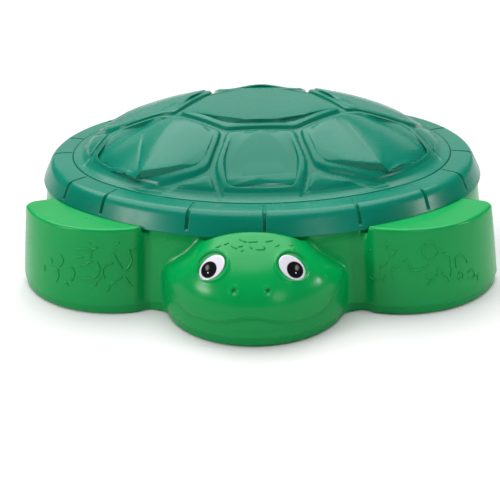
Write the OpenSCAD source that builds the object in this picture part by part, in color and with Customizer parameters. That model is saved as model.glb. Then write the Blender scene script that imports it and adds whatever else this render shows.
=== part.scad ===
// Animal-shaped sandbox: a double-walled hollow base with a sand basin, four seats shaped as
// feet and a head, and a lift-off domed cover that drops over the basin rim.
// Millimetres, +Z up. The origin is on the floor under the middle of the cover; -Y is the head end.

/* [Cover] */
// Length of the cover over its skirt, side to side
cover_length = 1048; // [860:1:1270]
// Depth of the cover over its skirt, front to back
cover_depth = 828; // [690:1:1000]
// End radius of the oval as a share of half its depth
oval_roundness = 0.85; // [0.8:0.01:0.93]
// Height of the dome above the cover's rim
dome_rise = 120; // [90:1:160]
// Height of the skirt that hangs round the basin rim
skirt_height = 50; // [40:1:60]
// How far the skirt flares outwards on its way down
skirt_flare = 24; // [16:1:30]
// Width of the flat rim between the skirt and the dome
rim_land = 48; // [40:1:58]
// Wall of the cover
cover_wall = 3; // [2.5:0.5:5]

/* [Basin] */
// Height of the basin rim above the floor, where the cover seats
rim_height = 231; // [200:1:277]
// Width of the basin rim's flat top
rim_width = 36; // [30:1:44]
// Height of the basin's floor above the ground
basin_floor = 16; // [14:1:30]
// How far the basin's wall leans inwards on its way down
basin_lean = 34; // [20:1:50]

/* [Base] */
// Wall of the hollow base
base_wall = 3; // [2.5:0.5:5]
// Room between the basin rim's outer wall and the inside of the cover's skirt
skirt_room = 6; // [4:1:10]
// How far the outer wall leans inwards from the floor to the skirt
body_lean = 22; // [14:1:28]
// Height of the step left by the mould's parting line
parting_height = 20; // [12:1:30]
// Depth of that step
parting_step = 3; // [1:0.5:5]

/* [Feet] */
// How far the front feet reach past the cover's skirt at each side
front_side_reach = 25; // [10:1:50]
// How far the front feet stay inside the line of the skirt at the front
front_end_inset = 7; // [-20:1:30]
// Plan radius of each front foot at the floor
front_foot_radius = 235; // [196:1:262]
// How far the rear feet stay inside the line of the skirt at each side
rear_side_inset = 9; // [-10:1:20]
// How far the rear feet stay inside the line of the skirt at the back
rear_end_inset = 49; // [20:1:60]
// Plan radius of each rear foot at the floor
rear_foot_radius = 215; // [196:1:235]
// How far a foot's wall leans inwards from the floor to the seat
foot_lean = 18; // [10:1:28]
// Height of the seats on the feet above the skirt's edge
seat_rise = 10; // [4:1:20]
// Bearing of a foot's side edge, from the side of the base
foot_side_bearing = 20; // [16:1:26]
// Bearing of a foot's end edge, from the side of the base
foot_end_bearing = 58; // [52:1:60]

/* [Head] */
// How far the nose reaches past the cover's skirt
nose_reach = 138; // [100:1:170]
// Plan radius of the head
head_radius = 200; // [170:1:215]
// Height of the top of the head above the skirt's edge
head_rise = 20; // [10:1:30]
// Height of the cheeks, where the head is widest
cheek_height = 75; // [60:1:90]
// Radius of the flat crown of the head
head_crown_radius = 80; // [60:1:95]
// Fall of the brow from the crown: 1 is a round arc, more is flatter
brow_fall = 1.65; // [1:0.05:2]

/* [Eyes] */
// Length of an eye label along its long axis
eye_length = 63; // [50:1:72]
// Width of an eye label across that axis
eye_width = 48; // [42:1:60]
// Turn of the long axis, with its outer end down
eye_tilt = 57; // [0:1:90]
// Thickness of an eye label
eye_thickness = 1.2; // [0.8:0.1:2]
// Room round a label in its socket
eye_room = 1; // [0.5:0.1:2]
// Distance of an eye from the head's upright axis
eye_radius = 160; // [140:1:165]
// Bearing of an eye from the head's middle line
eye_bearing = 31.5; // [26:0.5:36]
// Slope of the eye socket from the upright
eye_slope = 47; // [40:1:60]

/* [Tail] */
// How far the tail reaches past the cover's skirt
tail_reach = 18; // [14:1:40]
// Plan radius of the tail at the floor
tail_radius = 62; // [50:1:75]
// Height of the tail
tail_height = 120; // [90:1:150]
// Radius of the tail's top as a share of its radius at the floor
tail_taper = 0.7; // [0.5:0.05:0.9]

/* [Fits] */
// Gap between the cover's rim and the basin rim at rest
seat_gap = 0.3; // [0.2:0.1:0.6]
// Gap between the skirt and the recess cut for it in the feet and head
recess_gap = 6; // [4:1:10]
// How far the recess goes below the skirt's edge
recess_drop = 7; // [4:1:10]

/* [Hidden] */
$fn = 96;

// The oval is four arcs: an end radius on the X axis and a side radius on the Y axis.
half_length = cover_length / 2;
half_depth = cover_depth / 2;
end_radius = oval_roundness * half_depth;
end_centre = half_length - end_radius;
side_radius = (end_centre * end_centre + half_depth * half_depth - end_radius * end_radius)
              / (2 * (half_depth - end_radius));
side_centre = side_radius - half_depth;
// Half the angle that a side arc spans
side_half_angle = atan(end_centre / side_centre);

// Heights that the cover and the base share
land_z = rim_height + seat_gap + cover_wall;
skirt_z = land_z - skirt_height;
recess_z = skirt_z - recess_drop;
seat_z = skirt_z + seat_rise;
head_z = skirt_z + head_rise;
cover_top = land_z + dome_rise;

// How far a cutting shape runs past the face it cuts
cut = 1;
// Reach of the shapes that clear the space above the head and the eyes
clear_height = 60;

// Insets from the skirt's outline, at the rim
corner_inset = skirt_flare;
corner_bevel = 6;
drum_slope = skirt_flare / skirt_height;
valley_inset = corner_inset + rim_land;
// The steep band round the dome takes this share of the rise, over this width
band_share = 0.3;
band_width = 24;
plateau_inset = 0.8 * half_depth;

// Insets of the base's own walls, which follow the skirt's slope
drum_top_inset = corner_inset + cover_wall + skirt_room;
drum_foot_inset = drum_top_inset - drum_slope * (rim_height - recess_z);
body_inset = drum_foot_inset - body_lean;
basin_inset = drum_top_inset + rim_width;

// Middle of a foot's disc, from how far the foot reaches along X and Y. The foot is widest where its
// side edge cuts the disc, or at the disc's own side.
function foot_middle(reach_x, reach_y, radius) =
    let (y = reach_y - radius, edge_y = max(reach_x * tan(foot_side_bearing), y))
    [reach_x - sqrt(pow(radius, 2) - pow(edge_y - y, 2)), y];
front_foot = foot_middle(half_length + front_side_reach, half_depth - front_end_inset, front_foot_radius);
rear_foot = foot_middle(half_length - rear_side_inset, half_depth - rear_end_inset, rear_foot_radius);
head_y = -(half_depth + nose_reach - head_radius);
tail_y = half_depth + tail_reach - tail_radius;

// Shifts an open path of [x, y] points sideways by d, to the right of its direction, with mitred corners
function side_normal(p, q) = let (d = q - p) [d.y, -d.x] / norm(d);
function mitred(path, i, d) =
    let (last = len(path) - 1,
         a = side_normal(path[max(i - 1, 0)], path[max(i - 1, 0) + 1]),
         b = side_normal(path[min(i, last - 1)], path[min(i, last - 1) + 1]))
    path[i] + d * (a + b) / (1 + a * b);
function shifted(path, d) = [for (i = [0 : len(path) - 1]) mitred(path, i, d)];

// Points of an ellipse of two half axes
function ellipse_points(a, b, n) = [for (i = [0 : n - 1]) [a * cos(360 * i / n), b * sin(360 * i / n)]];

// A point of the oval, inset along its normal, which points at the angle t
oval_steps = 72;
function oval_point(t, inset, z) =
    let (on_end = abs(cos(t)) > sin(side_half_angle),
         centre = on_end ? [sign(cos(t)) * end_centre, 0] : [0, -sign(sin(t)) * side_centre],
         r = (on_end ? end_radius : side_radius) - inset)
    [centre.x + r * cos(t), centre.y + r * sin(t), z];
function oval_ring(p) = [for (k = [0 : oval_steps - 1]) oval_point(360 * k / oval_steps, p.x, p.y)];

// Faces between two rings of points, one after the other in the point list
function band(lower, upper, n) =
    [for (k = [0 : n - 1]) [lower + k, upper + k, upper + (k + 1) % n, lower + (k + 1) % n]];

// A solid with an oval outline. Its path of [inset from the skirt's outline, height] runs up the
// outside, and a face closes each end.
module oval_solid(path) {
    n = oval_steps;
    last = (len(path) - 1) * n;
    polyhedron(
        points = [for (p = path) each oval_ring(p)],
        faces = concat(
            [[for (k = [0 : n - 1]) k], [for (k = [n - 1 : -1 : 0]) last + k]],
            [for (i = [0 : len(path) - 2]) each band(i * n, (i + 1) * n, n)]));
}

// The upper side of the cover, from the skirt's edge in to the flat crown of the dome
dome_steps = 8;
function dome_path() =
    let (z0 = land_z + band_share * dome_rise, i0 = valley_inset + band_width)
    [for (k = [0 : dome_steps])
        let (t = 90 * k / dome_steps)
        [plateau_inset - (plateau_inset - i0) * cos(t), z0 + (cover_top - z0) * sin(t)]];
cover_path = concat(
    [[0, skirt_z], [corner_inset - drum_slope * corner_bevel, land_z - corner_bevel],
     [corner_inset + corner_bevel, land_z], [valley_inset, land_z]],
    dome_path());

module cover() color("seagreen") {
    inner = shifted(cover_path, cover_wall);
    inner_path = concat([[cover_wall, skirt_z - cut]], [for (i = [1 : len(inner) - 1]) inner[i]]);
    difference() {
        oval_solid(cover_path);
        oval_solid(inner_path);
    }
}

// Height of the bevel that carries the parting step
parting_bevel = 0.5;

// The basin's body, shrunk by a wall all round
module body(w) {
    oval_solid([
        [body_inset + parting_step + w, w],
        [body_inset + parting_step + w, parting_height + w],
        [body_inset + w, parting_height + parting_bevel + w],
        [drum_foot_inset + w, recess_z],
        [drum_top_inset + w, rim_height - w]]);
}

// The space inside the basin, grown by a wall
module basin_space(w) {
    oval_solid([
        [basin_inset + basin_lean - w, basin_floor - w],
        [basin_inset - w, rim_height],
        [basin_inset - w, rim_height + cut]]);
}

// Upper space kept free for the skirt
module skirt_recess(w) {
    oval_solid([[-recess_gap - w, recess_z - w], [-recess_gap - w, head_z + clear_height]]);
}

// Each foot is a leaning disc between two upright planes that spread from the middle of the base.
// This one is on +X and +Y.
module foot(w, middle, radius) {
    reach = 2 * radius + middle.x;
    half_spread = (foot_end_bearing - foot_side_bearing) / 2;
    intersection() {
        translate([middle.x, middle.y, 0]) {
            translate([0, 0, w])
                cylinder(r = radius - parting_step - w, h = parting_height);
            translate([0, 0, parting_height + w])
                cylinder(r1 = radius - w, r2 = radius - foot_lean - w,
                         h = seat_z - parting_height - 2 * w);
        }
        rotate(foot_side_bearing + half_spread) translate([w / sin(half_spread), 0, 0])
            linear_extrude(seat_z + cut)
                polygon([[0, 0], reach * [cos(half_spread), -sin(half_spread)],
                         reach * [cos(half_spread), sin(half_spread)]]);
    }
}

module feet(w) {
    for (mx = [0, 1]) mirror([mx, 0, 0]) {
        mirror([0, 1, 0]) foot(w, front_foot, front_foot_radius);
        foot(w, rear_foot, rear_foot_radius);
    }
}

// The head is turned about an upright axis: straight cheeks below, and a falling arc over the brow
brow_steps = 8;
function brow_point(t, w) =
    [head_crown_radius + (head_radius - w - head_crown_radius) * pow(cos(t), brow_fall),
     cheek_height + (head_z - w - cheek_height) * sin(t)];
function head_outline(w) =
    concat(
        [[0, w], [head_radius - parting_step - w, w], [head_radius - parting_step - w, parting_height],
         [head_radius - w, parting_height + w]],
        [for (k = [0 : brow_steps]) brow_point(90 * k / brow_steps, w)],
        [[0, head_z - w]]);
module head(w) translate([0, head_y, 0]) rotate_extrude() polygon(head_outline(w));

module tail(w) {
    translate([0, tail_y, w])
        cylinder(r1 = tail_radius - w, r2 = tail_taper * tail_radius - w, h = tail_height - 2 * w);
}

// Where the brow has the eyes' radius, as the arc's angle
eye_share = (eye_radius - head_crown_radius) / (head_radius - head_crown_radius);
eye_arc = acos(pow(eye_share, 1 / brow_fall));
socket_depth = 4;
eye_steps = 40;

// Puts its children in an eye socket: Z out of the head, X along the label's long axis
module at_eye(side) {
    on_brow = brow_point(eye_arc, 0);
    translate([0, head_y, 0]) rotate(-90 + side * eye_bearing)
        translate([on_brow.x, 0, on_brow.y]) rotate([0, eye_slope, 0])
            rotate(90 - side * eye_tilt) children();
}

module eye_sockets() {
    for (side = [-1, 1]) at_eye(side) translate([0, 0, -socket_depth])
        linear_extrude(clear_height)
            polygon(ellipse_points(eye_length / 2 + eye_room, eye_width / 2 + eye_room, eye_steps));
}

module lobes(w) {
    difference() {
        union() {
            feet(w);
            head(w);
            tail(w);
        }
        skirt_recess(w);
    }
}

// Backing left behind each eye socket by the hollow
module socket_backing() {
    for (side = [-1, 1]) at_eye(side) translate([0, 0, -socket_depth - base_wall])
        cylinder(r = eye_length / 2 + base_wall + eye_room, h = clear_height);
}

module base() color("mediumseagreen") {
    difference() {
        union() {
            body(0);
            lobes(0);
        }
        basin_space(0);
        eye_sockets();
        difference() {
            union() {
                body(base_wall);
                lobes(base_wall);
            }
            basin_space(base_wall);
            socket_backing();
        }
    }
}

module eye_label(side) color("white")
    at_eye(side) translate([0, 0, -socket_depth]) linear_extrude(eye_thickness)
        polygon(ellipse_points(eye_length / 2, eye_width / 2, eye_steps));

module eye_label_left() eye_label(-1);
module eye_label_right() eye_label(1);

base();
cover();
eye_label_left();
eye_label_right();
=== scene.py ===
import math

import bpy
import numpy as np
from mathutils import Matrix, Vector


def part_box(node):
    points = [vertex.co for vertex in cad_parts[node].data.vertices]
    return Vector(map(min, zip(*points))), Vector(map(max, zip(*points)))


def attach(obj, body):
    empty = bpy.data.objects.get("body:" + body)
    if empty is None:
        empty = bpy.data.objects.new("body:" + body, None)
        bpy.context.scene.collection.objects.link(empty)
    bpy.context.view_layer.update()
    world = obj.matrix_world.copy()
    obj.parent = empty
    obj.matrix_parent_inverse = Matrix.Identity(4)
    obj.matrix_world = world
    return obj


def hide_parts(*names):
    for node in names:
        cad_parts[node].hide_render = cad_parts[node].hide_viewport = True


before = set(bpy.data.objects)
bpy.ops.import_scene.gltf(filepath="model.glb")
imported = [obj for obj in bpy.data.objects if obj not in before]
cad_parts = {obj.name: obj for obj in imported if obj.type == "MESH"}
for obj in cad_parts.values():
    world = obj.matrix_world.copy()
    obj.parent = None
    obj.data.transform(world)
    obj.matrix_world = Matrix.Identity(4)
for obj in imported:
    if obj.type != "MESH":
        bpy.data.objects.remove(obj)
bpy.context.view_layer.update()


# ---- Cover ----
# The cover is one thin moulding of dark green polyethylene, blow-moulded with a domed pattern of
# plates and a flat rim with slots. It isn't fixed: its skirt drops over the basin's rim and it
# lifts off by hand.

# The shapes are worked out in millimetres and put into the meshes in metres.
MM = 0.001
cover_low, cover_high = (np.array(c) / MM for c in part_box("cover"))
half_length, half_depth = cover_high[0], cover_high[1]
skirt_z, cover_top = cover_low[2], cover_high[2]
skirt_height = 50
land_z = skirt_z + skirt_height
# How far inside the skirt's lower edge the rim's outer corner and the dome's foot lie
corner_inset = 24
valley_inset = 72
# The outline is an oval of four arcs: two end arcs on the X axis and two side arcs on the Y axis.
end_radius = 0.85 * half_depth
end_centre = half_length - end_radius
side_radius = (end_centre**2 + half_depth**2 - end_radius**2) / (2 * (half_depth - end_radius))
side_centre = side_radius - half_depth
side_half_angle = math.atan2(end_centre, side_centre)


def oval(t, inset):
    """Points of the outline moved inwards by inset, where its normal points at the angle t:
    the arc's centre plus (the arc's radius less inset) along (cos t, sin t)."""
    on_end = np.abs(np.cos(t)) > math.sin(side_half_angle)
    centre_x = np.where(on_end, np.sign(np.cos(t)) * end_centre, 0)
    centre_y = np.where(on_end, 0, -np.sign(np.sin(t)) * side_centre)
    radius = np.where(on_end, end_radius, side_radius) - inset
    return centre_x + radius * np.cos(t), centre_y + radius * np.sin(t)


def smooth(x):
    """0 below 0, 1 above 1, and the curve 3x^2 - 2x^3 between."""
    x = np.clip(x, 0, 1)
    return x * x * (3 - 2 * x)


def crowded(n, start, marks, width, gain):
    """n angles once round from start, packed gain times closer within width of each mark: the
    running sum of a density with a bell at each mark, read backwards at even steps."""
    fine = np.linspace(start, start + 2 * math.pi, 20001)
    density = np.ones_like(fine)
    widths, gains = np.broadcast_to(width, len(marks)), np.broadcast_to(gain, len(marks))
    for mark, w, g in zip(marks, widths, gains):
        off = np.angle(np.exp(1j * (fine - mark)))
        density += g * np.exp(-(off / w) ** 4)
    total = np.concatenate([[0], np.cumsum((density[1:] + density[:-1]) / 2)])
    return np.interp(np.arange(n) / n * total[-1], total, fine)


def bend(p0, p1, p2, n):
    """n points of a quadratic curve from p0 to p2 that leaves along p0-p1 and arrives along p1-p2."""
    u = np.linspace(0, 1, n)[:, None]
    return (1 - u) ** 2 * np.array(p0) + 2 * u * (1 - u) * np.array(p1) + u**2 * np.array(p2)


def ring_faces(lower, upper):
    """Squares between two closed rings of vertex numbers."""
    return np.stack([lower, np.roll(lower, -1), np.roll(upper, -1), upper], 1)


def fan_faces(ring, centre):
    """Triangles from a closed ring of vertex numbers to one vertex."""
    return np.stack([ring, np.roll(ring, -1), np.full(len(ring), centre)], 1)


def make_piece(name, points, faces, body, material):
    """A closed mesh from points in millimetres, turned outwards by the sign of its volume."""
    volume = 0
    for group in faces:
        a = points[group[:, 0]]
        for k in range(1, group.shape[1] - 1):
            b, c = points[group[:, k]], points[group[:, k + 1]]
            volume += np.einsum("ij,ij->", a, np.cross(b, c))
    if volume < 0:
        faces = [group[:, ::-1] for group in faces]
    mesh = bpy.data.meshes.new(name)
    mesh.from_pydata((points * MM).tolist(), [], [f for group in faces for f in group.tolist()])
    mesh.polygons.foreach_set("use_smooth", np.ones(len(mesh.polygons), bool))
    mesh.materials.append(material)
    mesh.update()
    piece = bpy.data.objects.new(name, mesh)
    bpy.context.scene.collection.objects.link(piece)
    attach(piece, body)
    return piece


def moulded_plastic(name, colour, deep, roughness, peel):
    """Satin-gloss moulded polyethylene: cloudy pigment between two shades, a fine orange peel,
    slow waves left by cooling, and faint rubbed patches that are a little rougher."""
    material = bpy.data.materials.new(name)
    material.use_nodes = True
    nodes, links = material.node_tree.nodes, material.node_tree.links
    shader = nodes["Principled BSDF"]
    shader.inputs["Specular IOR Level"].default_value = 0.2
    shader.inputs["IOR"].default_value = 1.51
    place = nodes.new("ShaderNodeTexCoord")

    def noise(scale, detail):
        node = nodes.new("ShaderNodeTexNoise")
        node.inputs["Scale"].default_value = scale
        node.inputs["Detail"].default_value = detail
        links.new(place.outputs["Object"], node.inputs["Vector"])
        return node.outputs["Fac"]

    shade = nodes.new("ShaderNodeValToRGB")
    shade.color_ramp.elements[0].position = 0.3
    shade.color_ramp.elements[0].color = (*deep, 1)
    shade.color_ramp.elements[1].position = 0.7
    shade.color_ramp.elements[1].color = (*colour, 1)
    links.new(noise(3.5, 4), shade.inputs["Fac"])
    links.new(shade.outputs["Color"], shader.inputs["Base Color"])
    rubbed = nodes.new("ShaderNodeMapRange")
    rubbed.inputs["From Min"].default_value = 0.35
    rubbed.inputs["From Max"].default_value = 0.75
    rubbed.inputs["To Min"].default_value = roughness
    rubbed.inputs["To Max"].default_value = roughness + 0.1
    links.new(noise(14, 6), rubbed.inputs["Value"])
    links.new(rubbed.outputs["Result"], shader.inputs["Roughness"])
    waves = nodes.new("ShaderNodeBump")
    waves.inputs["Strength"].default_value = 0.25
    waves.inputs["Distance"].default_value = 0.002
    links.new(noise(16, 1), waves.inputs["Height"])
    grain = nodes.new("ShaderNodeBump")
    grain.inputs["Strength"].default_value = peel
    grain.inputs["Distance"].default_value = 0.0004
    links.new(noise(420, 2), grain.inputs["Height"])
    links.new(waves.outputs["Normal"], grain.inputs["Normal"])
    links.new(grain.outputs["Normal"], shader.inputs["Normal"])
    return material


# Grooves between the plates, as X and Y of their middle lines on the right half of the dome. The
# pattern is the same on both sides of its middle line.
side_corner, front_corner, back_corner = (197, -37), (82, -152), (110, 118)
front_fork, back_fork, side_fork = (109, -262), (128, 235), (352, -14)
grooves = [
    [side_corner, front_corner, (0, -152)],
    [side_corner, back_corner, (0, 118)],
    [front_corner, (89, -192), (98, -222), (104, -243), front_fork],
    [front_fork, (147, -270), (202, -269), (246, -264), (268, -258)],
    [front_fork, (100, -284), (93, -305), (91, -324)],
    [back_corner, (118, 176), (124, 208), back_fork],
    [back_fork, (170, 244), (232, 246), (290, 244)],
    [back_fork, (118, 262), (106, 290), (101, 318)],
    [side_corner, (232, -22), (278, -24), (320, -22), side_fork],
    [side_fork, (384, -68), (410, -110)],
    [side_fork, (378, 14), (402, 60), (418, 106)],
]
groove_depth = 8
bevel_depth = 1.6
# A plain band runs round the dome outside the plates. The plates end at this share of the outline.
band_depth = 6
plate_edge = 0.925
# The cover lies a little turned on the base, as it was put down by hand.
cover_turn = math.radians(2.7)


def line_distance(x, y, line):
    """Distance in plan from each point to the nearest stretch of a line of points."""
    nearest = np.full(np.shape(x), 1e9)
    for (ax, ay), (bx, by) in zip(line[:-1], line[1:]):
        dx, dy = bx - ax, by - ay
        share = np.clip(((x - ax) * dx + (y - ay) * dy) / (dx * dx + dy * dy), 0, 1)
        nearest = np.minimum(nearest, np.hypot(x - ax - share * dx, y - ay - share * dy))
    return nearest


def groove_distance(x, y):
    """Distance to the pattern of grooves, softened where grooves meet, so that the plates' corners
    come out rounded: -k log(sum of exp(-distance / k)). u and v are X and Y in the turned cover."""
    k = 3.5
    u = np.abs(x * math.cos(cover_turn) + y * math.sin(cover_turn))
    v = y * math.cos(cover_turn) - x * math.sin(cover_turn)
    return -k * np.log(sum(np.exp(-line_distance(u, v, line) / k) for line in grooves))


def dome_height(share):
    """Height of the dome where share is the distance from its middle as a share of its outline:
    (1 - share^2.7)^0.8 times the rise, rounded off where it comes down to the valley at the rim."""
    foot, valley, rounding, top_drop = land_z - 19, land_z - 2.4, 200, 0.3
    dome = foot + (cover_top - top_drop - foot) * np.clip(1 - share**2.7, 0, 1) ** 0.8
    return (dome + valley + np.sqrt((dome - valley) ** 2 + rounding)) / 2


def dome_relief(x, y, share):
    """How far the surface lies below the plates: a soft bevel round each plate, then a steep wall
    to the groove or to the plain band that runs round the dome."""
    d = groove_distance(x, y)
    groove = 1 - smooth((d - 5) / 4.5)
    bevel = 1 - smooth((d - 9) / 8)
    across = np.hypot(x, y) * (plate_edge / np.maximum(share, 0.01) - 1)
    band = 1 - smooth(across / 5)
    band_bevel = 1 - smooth((across - 4) / 10)
    low = band_depth * band + groove_depth * groove * (1 - 0.6 * band)
    return low + bevel_depth * np.maximum(bevel, band_bevel) * (1 - band)


# Slots in the rim, by their bearing from the front of the cover
slot_bearings = np.radians([-102.9, -89.9, -66.4, -51.4, -23.1, 0.7, 29.5, 51.4, 67.8, 85.2, 106.1,
                            124, 141, 163, 184, 206, 221, 239])
outline_t = np.linspace(-math.pi, math.pi, 4001)
outline_x, outline_y = oval(outline_t, corner_inset)
outline_polar = np.unwrap(np.arctan2(outline_y, outline_x))
slot_polar = np.angle(np.exp(1j * (slot_bearings - math.pi / 2 + cover_turn)))
slot_t = np.interp(slot_polar, outline_polar, outline_t)

# The dome is a square grid of twice grid_half squares each way, and its edge is the rim's first ring.
grid_half = 116
rim_count = 8 * grid_half
even_t = np.arange(rim_count) * 2 * math.pi / rim_count
slot_crowding_width, slot_crowding = 0.013, 6
rim_t = crowded(rim_count, 0, slot_t, slot_crowding_width, slot_crowding)
# The outer side of rim and skirt, from the foot of the dome outwards, as insets and heights above
# the rim's flat
outer_profile = np.concatenate([
    [(70.6, -0.1), (69.2, 0), (67.6, 0.1), (65.5, 0.1)],
    [(60, -0.1), (52, -0.3), (45, -0.5)],
    bend((39, -0.9), (24.2, -0.6), (17, -14.6), 9),
    [(corner_inset * k, skirt_height * (k - 1)) for k in np.linspace(0.64, 0.06, 13)],
    [(0.5, -48.9), (1.4, -50), (2.6, -49.6)],
])
inner_profile = np.array([
    (4.4, -47), (10, -35.5), (15, -25), (20.6, -15), (25.6, -7.4), (30.5, -4.5), (38, -3.3),
    (45, -2.9), (66, -2.9), (73, -1.8)])


slot_half_width, slot_edge, slot_depth = 3.2, 0.9, 2.6
# On the skirt's steep side the slots are wider and deeper by these.
slot_widening, slot_deepening = 0.6, 4.6


def slotted(profile, gain):
    """Rings of the rim and skirt, pushed in along the profile's normal where a slot runs. A slot
    is a rounded stripe in the distance along the outline and the length along the profile."""
    along = np.gradient(profile, axis=0)
    along /= np.linalg.norm(along, axis=1)[:, None]
    normal = np.stack([-along[:, 1], along[:, 0]], 1)
    normal *= np.where(normal @ np.array([1, -0.3]) > 0, 1, -1)[:, None]
    length = 72 - profile[:, 0] + np.maximum(0, -profile[:, 1] - 4) * 0.9
    end = length.max() - 17
    beyond = np.maximum(np.maximum(5 - length, length - end), 0)
    steep = smooth((length - 34) / 14)
    off = np.angle(np.exp(1j * (rim_t[None, :] - slot_t[:, None])))
    across = np.abs(off).min(axis=0)
    radius = np.where(np.abs(np.cos(rim_t)) > math.sin(side_half_angle), end_radius, side_radius)
    distance = np.hypot((across * radius)[None, :], beyond[:, None])
    half_width = slot_half_width + slot_widening * steep[:, None]
    depth = slot_depth + slot_deepening * steep[:, None]
    push = smooth((half_width - distance) / slot_edge + 0.5) * depth * gain
    inset = profile[:, 0:1] + normal[:, 0:1] * push
    height = land_z + profile[:, 1:2] + normal[:, 1:2] * push
    x, y = oval(rim_t[None, :], inset)
    return np.stack([x, y, np.broadcast_to(height, x.shape)], 2)


def dome_grid(m):
    """A square grid bent into the dome: each ring of squares becomes a ring at the same share of
    the outline. Returns points and the number of each grid place."""
    a, b = np.meshgrid(np.arange(-m, m + 1), np.arange(-m, m + 1), indexing="ij")
    fine = np.linspace(0, 1, 2001)
    density = 1 + 1.6 * np.exp(-(((fine - plate_edge) / 0.022) ** 4))
    total = np.cumsum(density) - density[0]
    share = np.interp(np.maximum(np.abs(a), np.abs(b)) / m, total / total[-1], fine)
    on_side = np.abs(a) >= np.abs(b)
    turn = np.where(on_side, b / np.where(a == 0, 1, a), 2 - a / np.where(b == 0, 1, b)) * math.pi / 4
    turn = turn + np.where(np.where(on_side, a, b) < 0, math.pi, 0)
    turn = np.mod(turn, 2 * math.pi)
    crowd = np.interp(turn, np.append(even_t, 2 * math.pi), np.append(rim_t, 2 * math.pi))
    t = turn + (crowd - turn) * smooth((share - 0.9) / 0.1)
    # Towards the top the rings change from the oval to an ellipse, which has no jump in curvature.
    edge_x, edge_y = oval(t, valley_inset)
    wide, deep = half_length - valley_inset, half_depth - valley_inset
    size = np.hypot(wide * np.cos(t), deep * np.sin(t))
    blend = smooth((share - 0.88) / 0.12)
    x = share * (blend * edge_x + (1 - blend) * wide**2 * np.cos(t) / size)
    y = share * (blend * edge_y + (1 - blend) * deep**2 * np.sin(t) / size)
    # Points move along the slope of the distance to the grooves, so that more of them lie on the
    # grooves' walls. The table's last value holds beyond 21 mm, so points deep inside a plate are
    # pulled to 21 mm from its grooves too, and squares fold over there: this fault is still open.
    d = groove_distance(x, y)
    step = 0.5
    slope_x = (groove_distance(x + step, y) - groove_distance(x - step, y)) / (2 * step)
    slope_y = (groove_distance(x, y + step) - groove_distance(x, y - step)) / (2 * step)
    move = np.interp(d, [-3, 0, 1.6, 14.4, 21], [-3, 0, 4.2, 10.8, 21]) - d
    # The move fades out before the rim, and so does the relief below.
    move *= 1 - smooth((share - 0.88) / 0.03)
    x, y = x + move * slope_x, y + move * slope_y
    share = share * (1 + move * (x * slope_x + y * slope_y) / np.maximum(x * x + y * y, 1))
    z = dome_height(share) - dome_relief(x, y, share) * (1 - smooth((share - 0.94) / 0.055))
    numbers = np.arange(x.size).reshape(x.shape)
    return np.stack([x.ravel(), y.ravel(), z.ravel()], 1), numbers


def grid_edge(numbers, m):
    """The grid's outer ring of vertex numbers, in step with the angles of the rim."""
    up = numbers[2 * m, m:]
    back = numbers[2 * m - 1::-1, 2 * m]
    down = numbers[0, 2 * m - 1::-1]
    front = numbers[1:, 0]
    return np.concatenate([up, back, down, front, numbers[2 * m, 1:m]])


dome_points, dome_numbers = dome_grid(grid_half)
corners = [dome_numbers[:-1, :-1], dome_numbers[1:, :-1], dome_numbers[1:, 1:], dome_numbers[:-1, 1:]]
cover_faces = [np.stack([c.ravel() for c in corners], 1)]
cover_points = [dome_points]
ring = grid_edge(dome_numbers, grid_half)
count = len(dome_points)
for rows in (slotted(outer_profile, 1), slotted(inner_profile, 0.8)):
    for row in rows:
        numbers = count + np.arange(rim_count)
        cover_points.append(row)
        cover_faces.append(ring_faces(ring, numbers))
        ring = numbers
        count += rim_count
# Inside the dome a quarter of the points is enough.
coarse = np.arange(rim_count // 4)
inner_shares = (0.985, 0.965, 0.94, 0.9, 0.84, 0.75, 0.6, 0.4, 0.2)
for k, share in enumerate(inner_shares):
    x, y = oval(rim_t[::4], valley_inset)
    # The wall under the dome, with the grooves' depth, thins towards the rim.
    wall_drop = 9.5 - 2.5 * smooth((share - 0.9) / 0.1)
    height = max(float(dome_height(np.array(share))) - wall_drop, land_z - 1.6)
    numbers = count + coarse
    cover_points.append(np.stack([share * x, share * y, np.full(len(x), height)], 1))
    if k == 0:
        here, there = numbers, np.roll(numbers, -1)
        fine = [ring[j::4] for j in range(4)] + [np.roll(ring[0::4], -1)]
        for a, b, c in ((fine[0], fine[1], here), (fine[1], fine[2], here), (fine[2], there, here),
                        (fine[2], fine[3], there), (fine[3], fine[4], there)):
            cover_faces.append(np.stack([a, b, c], 1))
    else:
        cover_faces.append(ring_faces(ring, numbers))
    ring = numbers
    count += len(coarse)
cover_points.append([[0, 0, cover_top - 10]])
cover_faces.append(fan_faces(ring, count))

cover_green, deep_cover_green = (0.001, 0.185, 0.118), (0.001, 0.16, 0.102)
cover_plastic = moulded_plastic("cover_plastic", cover_green, deep_cover_green, 0.22, 0.2)
cover_piece = make_piece("shell_cover", np.concatenate(cover_points), cover_faces, "lid",
                         cover_plastic)
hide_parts("cover")


# ---- Base ----
# The base is one rotation moulding of bright green polyethylene with double walls: basin, four feet
# that serve as seats, head and tail in one, on a small step left by the mould's parting line.
base_low, base_high = (np.array(c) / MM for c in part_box("base"))
rim_z = base_high[2]
recess_z = skirt_z - 7
seat_z = skirt_z + 10
head_z = skirt_z + 20
parting_z = 20
# Middle and radius at the floor of a front and of a rear foot
front_foot, rear_foot = (316, 172, 235), (303, 150, 215)
head_y, head_radius, crown_radius, cheek_z = base_low[1] + 200, 200, 80, 75
tail_y, tail_z = base_high[1] - 62, 120
# A foot lies between these bearings from the X axis.
foot_bearings = np.radians([20, 58])


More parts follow.
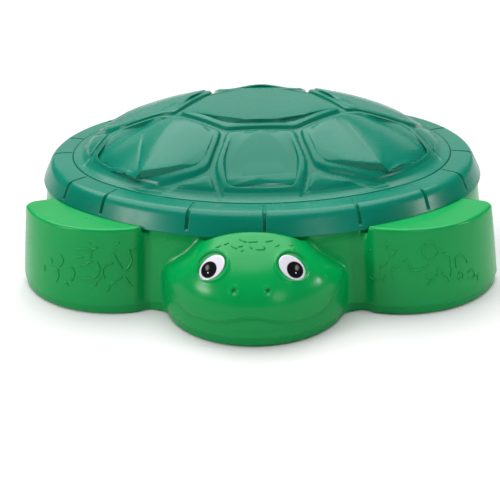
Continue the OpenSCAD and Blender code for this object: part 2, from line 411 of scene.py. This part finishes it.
def oval_field(x, y):
    """Signed distance in plan to the outline, from the nearer of an end arc and a side arc."""
    ax, ay = np.abs(x), np.abs(y)
    on_end = ay * math.sin(side_half_angle) < (ax - end_centre) * math.cos(side_half_angle)
    end = np.hypot(ax - end_centre, ay) - end_radius
    side = np.hypot(ax, ay + side_centre) - side_radius
    return np.where(on_end, end, side)


def joined(a, b, r):
    """The union of two fields with a hollow fillet of radius r."""
    return np.maximum(np.minimum(a, b), r) - np.hypot(np.maximum(r - a, 0), np.maximum(r - b, 0))


def trimmed(a, b, r):
    """The part common to two fields, with its edge rounded to radius r."""
    return np.minimum(np.maximum(a, b), -r) + np.hypot(np.maximum(r + a, 0), np.maximum(r + b, 0))


def body_field(x, y, z):
    """The oval body: its wall leans in by 22 mm up to the skirt, then follows the skirt's slope."""
    inset = np.interp(z, [0, 20, recess_z, rim_z], [-15, -14.8, 7.2, 33])
    return oval_field(x, y) + inset


def foot_field(x, y, z):
    """A foot: a leaning disc between two planes that spread from the middle, under a flat seat."""
    ax, ay = np.abs(x), np.abs(y)
    middle_x, middle_y, radius = (np.where(y < 0, a, b) for a, b in zip(front_foot, rear_foot))
    disc = np.hypot(ax - middle_x, ay - middle_y) - radius + 18 * np.clip(z - parting_z, 0, 200) / 174
    side_a, end_a = foot_bearings
    side = ax * math.sin(side_a) - ay * math.cos(side_a) + 0.2 * z
    end = ay * math.cos(end_a) - ax * math.sin(end_a) + 0.03 * z
    wall = trimmed(trimmed(disc, side, 26), end, 12)
    return trimmed(wall, z - seat_z, 6)


def head_outline(z, front, dy):
    """Radius of the head at a height: full below the cheeks, and above them an arc that falls to
    the crown, flatter at the front than at the sides. Behind the eyes the brow narrows."""
    rise = np.clip((z - cheek_z) / (head_z - cheek_z), 0, 1)
    fall = np.sqrt(np.clip(1 - rise**2, 0, 1)) ** (1.15 + 0.7 * front)
    full = 203 - 3.5 * front - 0.04 * np.clip(50 - z, 0, 50)
    narrow = 1 - 0.19 * smooth((dy + 130) / 90) * smooth((z - 95) / 60)
    return (crown_radius + (full - crown_radius) * fall) * narrow


def head_field(x, y, z):
    """The head, turned about an upright axis, with a flat crown."""
    dy = y - head_y
    r = np.hypot(x, dy)
    front = np.clip(-dy / np.maximum(r, 1), 0, 1) ** 2
    side = (r - head_outline(z, front, dy)) * 0.8
    return trimmed(side, z - head_z, 5)


def eye_frame(side):
    """Middle of an eye socket's mouth on the brow, and its long, cross and outward directions."""
    bearing, slope, tilt = math.radians(31.5), math.radians(47), math.radians(57)
    out = np.array([side * math.sin(bearing), -math.cos(bearing), 0])
    up = np.array([0, 0, 1])
    # The turned brow stands 160 mm from the head's axis here.
    rise = math.sqrt(1 - ((160 - crown_radius) / (head_radius - crown_radius)) ** (2 / 1.65))
    middle = np.array([0, head_y, 0]) + 160 * out + (cheek_z + (head_z - cheek_z) * rise) * up
    normal = math.sin(slope) * out + math.cos(slope) * up
    around = np.array([math.cos(bearing), side * math.sin(bearing), 0]) * side
    slant = np.cross(normal, around) * side
    long_way = math.cos(tilt) * around - math.sin(tilt) * slant
    cross_way = math.sin(tilt) * around + math.cos(tilt) * slant
    return middle, long_way, cross_way, normal


eye_half_long, eye_half_cross, socket_depth = 32.5, 25, 4
left_eye, right_eye = eye_frame(-1), eye_frame(1)


def with_face(field, x, y, z):
    """The head's details, pressed into or raised from its field: the smile, the crease under it,
    the nostrils, and the sockets and lids of the eyes."""
    ax = np.abs(x)
    ahead = smooth((head_y - 10 - y) / 60)
    smile = 52 + 18 * np.exp(-(x / 50) ** 2) + 40 * np.clip((ax - 125) / 60, 0, 1.2) ** 2
    below = smile - z
    ends = smooth((118 - z) / 14)
    lip = np.exp(-(below / 2.4) ** 2) * 4.6 + smooth(below / 4) * np.exp(-np.clip(below, 0, 90) / 24) * 4
    field = field + lip * ends * ahead
    field = field + 1.2 * np.exp(-((z - 33 - 0.0004 * x**2) / 5) ** 2) * smooth((150 - ax) / 60) * ahead
    hole = np.hypot(ax - 34, z - 122)
    field = field + (4.5 * np.exp(-(hole / 4.6) ** 4) - 0.9 * np.exp(-((hole - 9) / 3) ** 2)) * ahead
    for middle, long_way, cross_way, normal in (left_eye, right_eye):
        qx, qy, qz = x - middle[0], y - middle[1], z - middle[2]
        u = qx * long_way[0] + qy * long_way[1] + qz * long_way[2]
        v = qx * cross_way[0] + qy * cross_way[1] + qz * cross_way[2]
        w = qx * normal[0] + qy * normal[1] + qz * normal[2]
        near = np.exp(-(w / 40) ** 4)
        reach = np.hypot(u / eye_half_long, v / eye_half_cross)
        edge = (reach - 1) * eye_half_cross
        # The lid is a rounder ring, a little above the label: u and v turned upright.
        outwards, upwards = u * 0.545 + v * 0.839, v * 0.545 - u * 0.839
        ring = np.hypot(outwards / 35, (upwards - 4) / 34) * 34 - 34
        upper = smooth(upwards / 50 + 0.5)
        lid = np.exp(-(ring / 3.2) ** 2) * (2.0 + 3.2 * upper) - 1.6 * (1 - smooth((ring + 5) / 4))
        field = field - lid * near
        socket = np.maximum(edge, -w - socket_depth)
        field = trimmed(field, -socket, 1.6)
    return field


def tail_field(x, y, z):
    """The tail: a short round stub that tapers upwards."""
    r = np.hypot(x, y - tail_y) - 62 + 18 * z / tail_z
    return trimmed(r, z - tail_z, 12)


def base_field(x, y, z):
    """Below 0 inside the base's outer walls, with fillets where feet, head and tail meet the body,
    the parting step, and a rounded bottom edge."""
    head = head_field(x, y, z)
    face = with_face(head, x, y, z)
    field = joined(body_field(x, y, z), foot_field(x, y, z), 14)
    field = joined(field, face, 9)
    field = joined(field, tail_field(x, y, z), 14)
    step = 3 * smooth((parting_z + 0.8 - z) / 1.6)
    bottom = 4 - np.sqrt(np.clip(16 - np.clip(4 - z, 0, 4) ** 2, 0, 16))
    return field + step + bottom


def walk_out(x, y, z, dx, dy, dz, far):
    """Where rays from inside leave the base: the zero of the field, found by halving."""
    near, beyond = np.zeros(np.shape(x + dx + dz)), np.full(np.shape(x + dx + dz), float(far))
    for _ in range(20):
        mid = (near + beyond) / 2
        inside = base_field(x + mid * dx, y + mid * dy, z + mid * dz) < 0
        near, beyond = np.where(inside, mid, near), np.where(inside, beyond, mid)
    return (near + beyond) / 2


# Columns of the base by their bearing, closer on the head, on the front feet and at the feet's ends
foot_ends = np.concatenate([foot_bearings, -foot_bearings,
                            math.pi - foot_bearings, math.pi + foot_bearings])
marks = np.concatenate([foot_ends, [-math.pi / 2, -0.62, -math.pi + 0.62]])
widths = np.concatenate([np.full(8, 0.055), [0.5, 0.42, 0.42]])
gains = np.concatenate([np.full(8, 4.0), [4.2, 1.2, 1.2]])
columns = 696
bearing = crowded(columns, 0.0, marks, widths, gains)
recess_line = -6
dense_t = np.linspace(-0.2, 2 * math.pi + 0.2, 8001)
dense_x, dense_y = oval(dense_t, recess_line)
column_t = np.interp(bearing, np.unwrap(np.arctan2(dense_y, dense_x)), dense_t)
start_x, start_y = oval(column_t, recess_line)
out_x, out_y = np.cos(bearing), np.sin(bearing)
zero = np.zeros(columns)
top_z = 25 + walk_out(start_x, start_y, zero + 25, zero, zero, zero + 1, 190)
turn_z = 25 + 0.55 * np.maximum(top_z - 75, 0)

# Below the turning height the wall is found level by level
wall_rows = 36
level = np.linspace(0, 1, wall_rows)[:, None] * turn_z[None, :]
reach = walk_out(start_x + 0 * level, start_y + 0 * level, level, out_x, out_y, zero, 300)
wall = np.stack([start_x + reach * out_x, start_y + reach * out_y, level], 2)

# Above it rays fan out from the recess line, from level to upright. Each column's rows are then
# spread by its length and by how sharply it bends, so that edges get more rows.
fan_rows, samples = 70, 260
tilt = np.linspace(0, math.pi / 2, samples)[:, None]
flat, lift = np.cos(tilt) * np.ones(columns), np.sin(tilt) * np.ones(columns)
reach = walk_out(start_x + 0 * flat, start_y + 0 * flat, turn_z + 0 * flat,
                 flat * out_x, flat * out_y, lift, 300)
fan_out, fan_z = reach * flat, turn_z + reach * lift
step_out, step_z = np.diff(fan_out, axis=0), np.diff(fan_z, axis=0)
heading = np.unwrap(np.arctan2(step_z, step_out), axis=0)
bending = np.abs(np.diff(heading, axis=0))
bending = np.concatenate([bending[:1], bending])
weight = np.hypot(step_out, step_z) + 16 * np.minimum(bending, 0.5)
weight = sum(np.roll(weight, k, axis=1) for k in range(-4, 5)) / 9
total = np.concatenate([np.zeros((1, columns)), np.cumsum(weight, axis=0)])
spread = np.linspace(0, 1, fan_rows + 1)[1:]
fan = np.empty((fan_rows, columns, 3))
for k in range(columns):
    at = spread * total[-1, k]
    distance = np.interp(at, total[:, k], fan_out[:, k])
    fan[:, k, 0] = start_x[k] + distance * out_x[k]
    fan[:, k, 1] = start_y[k] + distance * out_y[k]
    fan[:, k, 2] = np.interp(at, total[:, k], fan_z[:, k])

# Inside the recess line the surface is a ledge for the skirt, wherever the body isn't lower
ledge = []
for inset in (recess_line + 0.5, -2, 1.5, 5):
    x, y = oval(column_t, inset)
    height = walk_out(x, y, zero + 1, zero, zero, zero + 1, 228) + 1
    ledge.append(np.stack([x, y, np.minimum(height, recess_z)], 1))

# Then the drum up to the basin's rim, the rim, the basin's wall and its floor
basin_floor_z = 16
basin_profile = np.concatenate([
    [(8, recess_z + 1.5), (14, recess_z + 14.2), (20, recess_z + 26.7), (26, recess_z + 39.2)],
    bend((29.8, rim_z - 7), (33.4, rim_z), (42, rim_z), 5),
    [(50, rim_z), (58, rim_z)],
    bend((63, rim_z), (69, rim_z), (70.2, rim_z - 8), 5),
    [(78, 180), (86, 128), (93, 84), (98, 52)],
    bend((100, 40), (103, basin_floor_z), (132, basin_floor_z), 6),
    [(170, basin_floor_z), (240, basin_floor_z)],
])
basin = []
for inset, height in basin_profile:
    x, y = oval(column_t, inset)
    basin.append(np.stack([x, y, zero + height], 1))
basin.append(basin[-1] * [0.4, 0.4, 1])
underside = [wall[0] * [share, share, 0] for share in (0.3, 0.8, 0.985)]

rings = [*underside, *wall, *fan, *ledge, *basin]
base_points = np.concatenate([*rings, [[0, 0, 0]], [[0, 0, basin_floor_z]]])
numbers = np.arange(len(rings) * columns).reshape(len(rings), columns)
base_faces = [ring_faces(a, b) for a, b in zip(numbers[:-1], numbers[1:])]
base_faces.append(fan_faces(numbers[0], numbers.size)[:, ::-1])
base_faces.append(fan_faces(numbers[-1], numbers.size + 1))
base_green, deep_base_green = (0.0, 0.3, 0.066), (0.0, 0.26, 0.056)
base_plastic = moulded_plastic("base_plastic", base_green, deep_base_green, 0.2, 0.2)
base_piece = make_piece("hollow_base", base_points, base_faces, "sandbox", base_plastic)
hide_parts("base")


# ---- Raised lines on the feet and the forehead ----
# Thin moulded ribs that draw parts of scales. They are one with the base, in the same plastic.
rib_radius, rib_step = 2.2, 2.5


def rib(line, downwards):
    """A rib with a round back, carried along a line of X and Z on the front wall, or of X and Y
    on top of the head. Its points are the surface plus an arc of the profile along its normal."""
    line = np.array(line, float)
    gaps = np.hypot(*np.diff(line, axis=0).T)
    steps = np.concatenate([[0], np.cumsum(gaps)])
    at = np.linspace(0, steps[-1], max(int(steps[-1] / rib_step), 3))
    a, b = np.interp(at, steps, line[:, 0]), np.interp(at, steps, line[:, 1])

    def surface(a, b):
        o = 0 * a
        if downwards:
            return np.stack([a, b, 60 + walk_out(a, b, o + 60, o, o, o + 1, 180)], 1)
        return np.stack([a, -230 - walk_out(a, o - 230, b, o, o - 1, o, 300), b], 1)

    middle = surface(a, b)
    e = 1.0
    across_a, across_b = surface(a + e, b) - middle, surface(a, b + e) - middle
    normal = np.cross(across_a, across_b)
    normal /= np.linalg.norm(normal, axis=1)[:, None]
    normal *= np.where(normal[:, 2 if downwards else 1] * (1 if downwards else -1) < 0, -1, 1)[:, None]
    along = np.gradient(middle, axis=0)
    along /= np.linalg.norm(along, axis=1)[:, None]
    sideways = np.cross(normal, along)
    fade = np.minimum(1, np.minimum(at, at[-1] - at) / 3 + 0.25)[:, None, None]
    arc = np.linspace(0, 2 * math.pi, 9)[:-1]
    profile = np.stack([rib_radius * np.cos(arc), rib_radius * np.sin(arc) - 0.1], 1)
    points = (middle[:, None] + profile[None, :, 0:1] * sideways[:, None] * (0.5 + 0.5 * fade)
              + profile[None, :, 1:2] * normal[:, None] * fade)
    n, m = points.shape[:2]
    ids = np.arange(n * m).reshape(n, m)
    faces = [ring_faces(p, q) for p, q in zip(ids[:-1], ids[1:])]
    faces += [fan_faces(ids[0], n * m)[:, ::-1], fan_faces(ids[-1], n * m + 1)]
    points = np.concatenate([points.reshape(-1, 3), middle[:1], middle[-1:]])
    return points, faces


# Lines on the front feet, as X and Z
foot_lines = [
    [(-383, 148), (-357, 149), (-348, 148), (-335, 156)], [(-348, 148), (-351, 140), (-353, 129)],
    [(-386, 130), (-368, 130)], [(-355, 163), (-348, 164)], [(-377, 108), (-348, 124)],
    [(-429, 127), (-421, 126), (-416, 116), (-422, 104), (-430, 95)], [(-449, 112), (-445, 106), (-448, 97)],
    [(-443, 96), (-437, 91), (-431, 90), (-431, 75), (-439, 59)], [(-466, 90), (-467, 75)],
    [(-409, 107), (-395, 102), (-391, 92), (-395, 79), (-402, 71)], [(-420, 67), (-411, 64), (-410, 56)],
    [(-339, 123), (-333, 108), (-337, 94), (-346, 86), (-364, 82), (-379, 82)],
    [(-303, 121), (-321, 115), (-327, 107), (-328, 94), (-323, 85)], [(-331, 88), (-342, 77), (-347, 66)],
    [(-297, 160), (-287, 167)], [(-302, 146), (-294, 149)], [(-302, 143), (-296, 128), (-285, 106)],
    [(-253, 150), (-269, 150), (-267, 137), (-263, 122), (-274, 105), (-281, 99)], [(-311, 72), (-285, 90)],
    [(-281, 88), (-274, 76), (-266, 64)], [(-332, 59), (-319, 57), (-313, 69)],
    [(359, 161), (375, 166), (384, 154), (393, 140), (385, 128), (371, 127), (359, 137), (356, 152),
     (359, 161)],
    [(400, 136), (417, 126), (420, 109), (419, 98)], [(430, 121), (433, 95)],
    [(433, 122), (440, 123), (448, 119), (457, 107), (458, 98)], [(399, 91), (413, 82), (418, 68)],
    [(424, 96), (420, 79)], [(437, 80), (444, 84), (450, 76), (449, 67), (441, 66), (437, 73)],
    [(459, 75), (466, 82), (475, 74), (478, 61), (472, 57), (462, 64)], [(490, 62), (484, 60), (487, 46)],
    [(301, 153), (295, 144), (287, 131)], [(280, 150), (280, 159), (284, 165)],
    [(266, 109), (277, 118), (283, 128)], [(243, 138), (250, 147)], [(244, 84), (252, 78), (271, 84)],
    [(276, 77), (280, 94)], [(308, 114), (294, 112), (293, 101), (296, 81)],
    [(329, 120), (332, 105), (345, 103), (356, 106), (371, 115)], [(316, 124), (327, 129)],
    [(391, 107), (392, 85)], [(369, 67), (383, 82), (389, 89)], [(365, 92), (375, 80)],
]
# Lines on the forehead, as X and Y
forehead_lines = [
    [(-28, -438), (-12, -449)], [(-44, -453), (-31, -463)], [(-60, -447), (-49, -444)],
    [(-77, -449), (-65, -446)], [(-5, -457), (0, -466)], [(-24, -470), (-17, -467)],
    [(-9, -448), (11, -447)], [(7, -467), (27, -465)], [(26, -446), (42, -439)],
    [(47, -455), (56, -447)], [(76, -443), (84, -436)], [(82, -445), (88, -451)],
    [(-29, -459), (-19, -457)], [(23, -456), (26, -464)],
]
rib_points, rib_faces, count = [], [], 0
for line in foot_lines + forehead_lines:
    points, faces = rib(line, line in forehead_lines)
    rib_points.append(points)
    rib_faces += [group + count for group in faces]
    count += len(points)
make_piece("scale_lines", np.concatenate(rib_points), rib_faces, "sandbox", base_plastic)


# ---- Eye labels ----
# Two printed films, white with a black pupil, stuck on the floors of the sockets in the brow.
# Over each pupil lie a grey and a white painted highlight, which stand in for glints of the lamps.
def label_material():
    """Printed film on the label's own map: white, with a black printed pupil and a grey and a white
    painted highlight over it, all ellipses laid over one another."""
    material = bpy.data.materials.new("printed_label_painted_highlights")
    material.use_nodes = True
    nodes, links = material.node_tree.nodes, material.node_tree.links
    shader = nodes["Principled BSDF"]
    shader.inputs["Roughness"].default_value = 0.16
    shader.inputs["Coat Weight"].default_value = 0.2
    map_node = nodes.new("ShaderNodeUVMap")
    map_node.uv_map = "print"
    tint = nodes.new("ShaderNodeTexNoise")
    tint.inputs["Scale"].default_value = 3
    links.new(map_node.outputs["UV"], tint.inputs["Vector"])
    paper = nodes.new("ShaderNodeValToRGB")
    paper.color_ramp.elements[0].color = (0.60, 0.57, 0.66, 1)
    paper.color_ramp.elements[1].color = (0.70, 0.67, 0.74, 1)
    links.new(tint.outputs["Fac"], paper.inputs["Fac"])
    colour = paper.outputs["Color"]
    # Each mark, the printed pupil and then two painted highlights: middle, half axes and turn in the label's
    # map, softness of its edge, and colour
    print_and_painted_highlights = [
        ((0.62, 0.5), (0.29, 0.29), 90, 0.04, (0.002, 0.002, 0.003)),
        # Painted highlight: a grey glint on the pupil, where a lamp's reflection would fall
        ((0.625, 0.6), (0.06, 0.085), 30, 0.5, (0.16, 0.15, 0.15)),
        # Painted highlight: a small white glint on the pupil
        ((0.70, 0.43), (0.022, 0.022), 0, 0.3, (0.75, 0.75, 0.78)),
    ]
    for middle, axes, turn, soft, mark_colour in print_and_painted_highlights:
        place = nodes.new("ShaderNodeMapping")
        place.vector_type = "TEXTURE"
        place.inputs["Location"].default_value = (*middle, 0)
        place.inputs["Rotation"].default_value = (0, 0, math.radians(turn))
        place.inputs["Scale"].default_value = (*axes, 1)
        links.new(map_node.outputs["UV"], place.inputs["Vector"])
        size = nodes.new("ShaderNodeVectorMath")
        size.operation = "LENGTH"
        links.new(place.outputs["Vector"], size.inputs[0])
        edge = nodes.new("ShaderNodeMapRange")
        edge.inputs["From Min"].default_value = 1 + soft
        edge.inputs["From Max"].default_value = 1 - soft
        links.new(size.outputs["Value"], edge.inputs["Value"])
        mix = nodes.new("ShaderNodeMix")
        mix.data_type = "RGBA"
        links.new(edge.outputs["Result"], mix.inputs["Factor"])
        links.new(colour, mix.inputs["A"])
        mix.inputs["B"].default_value = (*mark_colour, 1)
        colour = mix.outputs["Result"]
    links.new(colour, shader.inputs["Base Color"])
    return material


label_film = label_material()
label_half_long, label_half_cross, label_crown = 31.5, 24, 2.3
# Shares of the half axes and heights above the socket's floor, from the back to the crown
label_rows = [(0.5, 0), (0.99, 0), (1, 0.3), (1, 0.9), (0.985, 1.3), (0.9, 1.6), (0.6, 2.0), (0.3, 2.2)]
label_columns = 96
angle = np.arange(label_columns) * 2 * math.pi / label_columns
for name, (middle, long_way, cross_way, normal) in (("eye_label_left", left_eye),
                                                    ("eye_label_right", right_eye)):
    rows = []
    for share, height in label_rows:
        u = label_half_long * share * np.cos(angle)
        v = label_half_cross * share * np.sin(angle)
        rows.append(middle + u[:, None] * long_way + v[:, None] * cross_way
                    + (height - socket_depth) * normal)
    points = np.concatenate([*rows, [middle - socket_depth * normal],
                             [middle + (label_crown - socket_depth) * normal]])
    ids = np.arange(len(rows) * label_columns).reshape(len(rows), label_columns)
    faces = [ring_faces(a, b) for a, b in zip(ids[:-1], ids[1:])]
    faces += [fan_faces(ids[0], ids.size)[:, ::-1], fan_faces(ids[-1], ids.size + 1)]
    label = make_piece(f"printed_{name}", points, faces, "sandbox", label_film)
    # The print's map is a square as wide as the label is long, from 0 to 1 both ways.
    corner = np.empty(len(label.data.loops), int)
    label.data.loops.foreach_get("vertex_index", corner)
    offset = points[corner] - middle
    uv = np.stack([offset @ long_way, offset @ cross_way], 1) / (2 * label_half_long) + 0.5
    label.data.uv_layers.new(name="print").data.foreach_set("uv", uv.ravel())
    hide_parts(name)


# ---- Floor, light and camera ----
# A pale studio floor that runs out of sight, under a dim sky. A wide soft light shines from above,
# and soft boxes behind, at both sides and in front give the edges and the head their gloss.
floor_reach, floor_z = 30, -0.0005
floor_mesh = bpy.data.meshes.new("floor")
floor_mesh.from_pydata([(floor_reach * x, floor_reach * y, floor_z)
                        for x, y in ((-1, -1), (1, -1), (1, 1), (-1, 1))], [], [(0, 1, 2, 3)])
floor = bpy.data.objects.new("floor", floor_mesh)
bpy.context.scene.collection.objects.link(floor)
floor_paint = bpy.data.materials.new("floor_paint")
floor_paint.use_nodes = True
floor_shader = floor_paint.node_tree.nodes["Principled BSDF"]
floor_shader.inputs["Base Color"].default_value = (0.66, 0.66, 0.66, 1)
floor_shader.inputs["Roughness"].default_value = 0.9
floor_mesh.materials.append(floor_paint)

world = bpy.data.worlds.new("studio")
world.use_nodes = True
world.node_tree.nodes["Background"].inputs["Color"].default_value = (0.1, 0.1, 0.1, 1)
bpy.context.scene.world = world
bpy.context.scene.view_settings.view_transform = "Standard"


def pose_matrix(right, up, back, place):
    """The matrix of a lamp or camera that looks against back from its place."""
    matrix = np.eye(4)
    matrix[:3] = np.stack([right, up, back, place], 1)
    return Matrix(matrix.tolist())


def softbox(name, place, aim, size, power):
    """A rectangular area light at a place, turned to its aim. Sizes are in metres, power in watts."""
    light = bpy.data.lights.new(name, "AREA")
    light.shape = "RECTANGLE"
    light.size, light.size_y = size
    light.energy = power
    lamp = bpy.data.objects.new(name, light)
    bpy.context.scene.collection.objects.link(lamp)
    place, aim = np.array(place, float), np.array(aim, float)
    back = (place - aim) / np.linalg.norm(place - aim)
    right = np.cross([0, 0, 1], back)
    right /= np.linalg.norm(right)
    lamp.matrix_world = pose_matrix(right, np.cross(back, right), back, place)
    lamp.visible_camera = False


softbox("back_light", (0, 3.4, 1.3), (0, 0, 0.3), (5.0, 1.4), 16)
softbox("left_light", (-2.5, -1.7, 1.1), (0, -0.2, 0.1), (0.8, 0.6), 30)
softbox("right_light", (2.5, -0.7, 0.8), (0.1, -0.3, 0.1), (0.25, 0.3), 11)
softbox("front_light", (1.35, -2.8, 1.15), (0.1, -0.3, 0.1), (0.35, 0.9), 8)
# The overhead light is as wide in the sky as a large ceiling panel.
overhead = bpy.data.lights.new("overhead", "SUN")
overhead.energy = 4.8
overhead.angle = math.radians(75)
overhead_lamp = bpy.data.objects.new("overhead", overhead)
bpy.context.scene.collection.objects.link(overhead_lamp)
overhead_lamp.rotation_euler = (math.radians(-17), math.radians(-6), 0)

# The camera looks from away, a little below the target, so that the object stands high in the frame.
elevation, turn, distance = math.radians(20), math.radians(2.8), 2.75
dip, roll = math.radians(5.1), math.radians(-1.15)
target = np.array([0, 0, 0.235])
away = np.array([math.sin(turn) * math.cos(elevation), -math.cos(turn) * math.cos(elevation),
                 math.sin(elevation)])
camera_data = bpy.data.cameras.new("camera")
camera_data.sensor_width = 36
camera_data.lens = 82
camera_data.shift_x = -0.0263
camera = bpy.data.objects.new("camera", camera_data)
bpy.context.scene.collection.objects.link(camera)
right = np.array([math.cos(turn), math.sin(turn), 0])
up = np.cross(away, right)
back, up = math.cos(dip) * away + math.sin(dip) * up, math.cos(dip) * up - math.sin(dip) * away
right, up = math.cos(roll) * right + math.sin(roll) * up, math.cos(roll) * up - math.sin(roll) * right
camera.matrix_world = pose_matrix(right, up, back, target + distance * away)
bpy.context.scene.camera = camera
